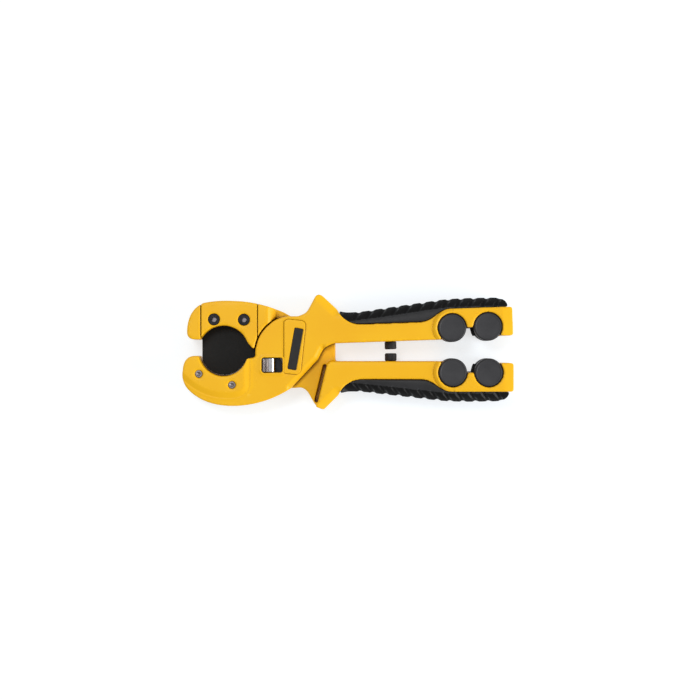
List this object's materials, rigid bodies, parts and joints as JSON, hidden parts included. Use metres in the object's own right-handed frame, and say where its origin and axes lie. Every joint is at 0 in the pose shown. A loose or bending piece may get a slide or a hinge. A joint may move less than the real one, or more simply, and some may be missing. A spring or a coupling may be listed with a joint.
{
  "type": "pvc pipe cutter",
  "caption": "Two-lever plastic pipe cutter with a clamped blade behind a round jaw opening, a slide latch, ribbed grips and handle-end rollers that guide a conduit sheath.",
  "frame": {"origin": "on the main pivot's axis, in the plane the tool lies on", "axes": "+X from the pivot towards the handle ends, +Y towards the upper handle, +Z out of the front face"},
  "size_m": [0.2103, 0.0733, 0.024],
  "materials": {
    "yellow_plastic": "glass-filled nylon, moulded with a fine satin grain",
    "grip_rubber": "soft moulded grip, matt",
    "bumper_rubber": "matt",
    "roller_black": "acetal, satin",
    "label_black": "plain strip, satin, no lettering",
    "washer_nylon": "nylon",
    "blade_steel": "black coating over tool steel, bright ground edge",
    "screw_steel": "black oxide",
    "rivet_steel": "turned",
    "pivot_steel": "zinc plated",
    "latch_chrome": "bright nickel plate",
    "insert_brass": "plain"
  },
  "bodies": {
    "outer_lever": {"front_cheek": "yellow_plastic", "rear_cheek": "yellow_plastic", "jaw_rivets": "rivet_steel", "shell_screws": "screw_steel", "pivot_bolt": "pivot_steel", "pivot_nut": "pivot_steel", "front_washer": "washer_nylon", "rear_washer": "washer_nylon", "pivot_cover": "yellow_plastic", "label_strip": "label_black", "upper_grip": "grip_rubber", "upper_bumper": "bumper_rubber", "upper_sheath_blade": "blade_steel"},
    "inner_lever": {"inner_lever": "yellow_plastic", "clamp_plate": "yellow_plastic", "pipe_blade": "blade_steel", "blade_screws": "screw_steel", "screw_inserts": "insert_brass", "lower_grip": "grip_rubber", "lower_bumper": "bumper_rubber", "lower_sheath_blade": "blade_steel"},
    "latch": {"latch_slider": "latch_chrome", "latch_bolt": "screw_steel"},
    "upper_fore_roller": {"upper_fore_roller_front": "roller_black", "upper_fore_roller_rear": "roller_black", "upper_fore_axle": "pivot_steel"},
    "upper_aft_roller": {"upper_aft_roller_front": "roller_black", "upper_aft_roller_rear": "roller_black", "upper_aft_axle": "pivot_steel"},
    "lower_fore_roller": {"lower_fore_roller_front": "roller_black", "lower_fore_roller_rear": "roller_black", "lower_fore_axle": "pivot_steel"},
    "lower_aft_roller": {"lower_aft_roller_front": "roller_black", "lower_aft_roller_rear": "roller_black", "lower_aft_axle": "pivot_steel"}
  },
  "joints": [
    {"name": "main_pivot", "type": "hinge", "parent": "outer_lever", "child": "inner_lever", "pos_m": [0, 0, 0.012], "axis": [0, 0, -1], "range_deg": [-2, 36]},
    {"name": "latch_slide", "type": "slide", "parent": "outer_lever", "child": "latch", "axis": [1, 0, 0], "range_m": [0, 0.004]},
    {"name": "upper_fore_spin", "type": "hinge", "parent": "outer_lever", "child": "upper_fore_roller", "pos_m": [0.1015, 0.01595, 0.012], "axis": [0, 0, 1], "continuous": true},
    {"name": "upper_aft_spin", "type": "hinge", "parent": "outer_lever", "child": "upper_aft_roller", "pos_m": [0.12429, 0.01675, 0.012], "axis": [0, 0, 1], "continuous": true},
    {"name": "lower_fore_spin", "type": "hinge", "parent": "inner_lever", "child": "lower_fore_roller", "pos_m": [0.102, -0.0124, 0.012], "axis": [0, 0, 1], "continuous": true},
    {"name": "lower_aft_spin", "type": "hinge", "parent": "inner_lever", "child": "lower_aft_roller", "pos_m": [0.1248, -0.0124, 0.012], "axis": [0, 0, 1], "continuous": true}
  ]
}
